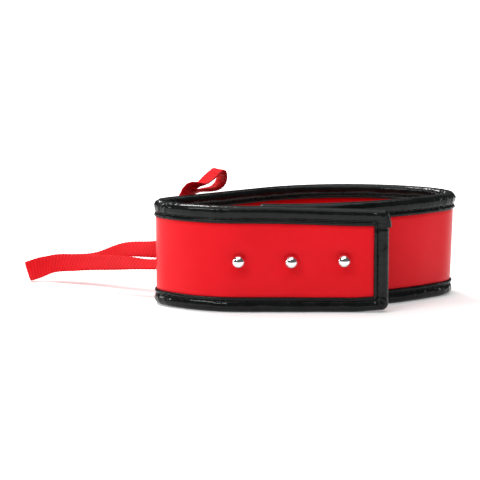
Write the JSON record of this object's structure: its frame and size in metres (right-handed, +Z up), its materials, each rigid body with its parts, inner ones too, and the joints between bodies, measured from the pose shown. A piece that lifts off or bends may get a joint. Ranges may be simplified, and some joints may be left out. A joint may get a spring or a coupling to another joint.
{
  "type": "ankle cuff weight",
  "caption": "Slim padded ankle strap closed into a ring: bound edges, a studded flap over the tucked end, flat weight bars inside and webbing pull loops.",
  "frame": {"origin": "middle of the ring, on the surface that the cuff stands on", "axes": "+X along the strap's front towards the flap's free end, +Y from the flap to the back, +Z up along the ring's axis"},
  "size_m": [0.2133, 0.0921, 0.0605],
  "materials": {
    "red_skin": "smooth coated sheet, semi gloss",
    "red_lining": "smooth coated sheet, satin",
    "black_patent": "patent, high gloss",
    "foam": "closed cell foam",
    "weight_steel": "rolled",
    "stud_chrome": "polished",
    "stud_steel": "plain",
    "closure_tape": "hook and loop",
    "webbing": "ribbed weave",
    "thread": "twisted thread"
  },
  "bodies": {
    "back_band": {"back_outer_skin": "red_skin", "back_foam_core": "foam", "back_lining": "red_lining", "back_top_binding": "black_patent", "back_bottom_binding": "black_patent", "back_weight_bars": "weight_steel", "left_loop_anchor": "webbing", "left_anchor_stitching": "thread", "rear_loop_anchor": "webbing", "rear_anchor_stitching": "thread"},
    "front_flap": {"flap_outer_skin": "red_skin", "flap_foam_core": "foam", "flap_lining": "red_lining", "flap_top_binding": "black_patent", "flap_bottom_binding": "black_patent", "flap_end_binding": "black_patent", "hook_tape": "closure_tape", "stud_domes": "stud_chrome", "stud_posts": "stud_steel", "stud_washers": "stud_steel"},
    "under_end": {"under_outer_skin": "red_skin", "under_foam_core": "foam", "under_lining": "red_lining", "under_top_binding": "black_patent", "under_bottom_binding": "black_patent", "under_end_binding": "black_patent", "loop_tape": "closure_tape", "under_weight_bars": "weight_steel"},
    "left_pull_loop": {"left_pull_loop": "webbing"},
    "rear_pull_loop": {"rear_pull_loop": "webbing"}
  },
  "joints": [
    {"name": "flap_peel", "type": "hinge", "parent": "back_band", "child": "front_flap", "pos_m": [-0.0721, -0.01525, 0.025], "axis": [0, 0, -1], "range_deg": [0, 110]},
    {"name": "under_end_spread", "type": "hinge", "parent": "back_band", "child": "under_end", "pos_m": [0.0721, 0.01146, 0.025], "axis": [0, 0, 1], "range_deg": [0, 33.5]},
    {"name": "left_loop_swing", "type": "hinge", "parent": "back_band", "child": "left_pull_loop", "pos_m": [-0.0518, 0.0068, 0.018], "axis": [0, 0, 1], "range_deg": [-50, 3]},
    {"name": "rear_loop_flop", "type": "hinge", "parent": "back_band", "child": "rear_pull_loop", "pos_m": [-0.0578, 0.0019, 0.0383], "axis": [-0.809, -0.5878, 0], "range_deg": [0, 80]}
  ],
  "couplings": [
    {"joint": "under_end_spread", "follows": "flap_peel", "ratio": 0.3}
  ]
}
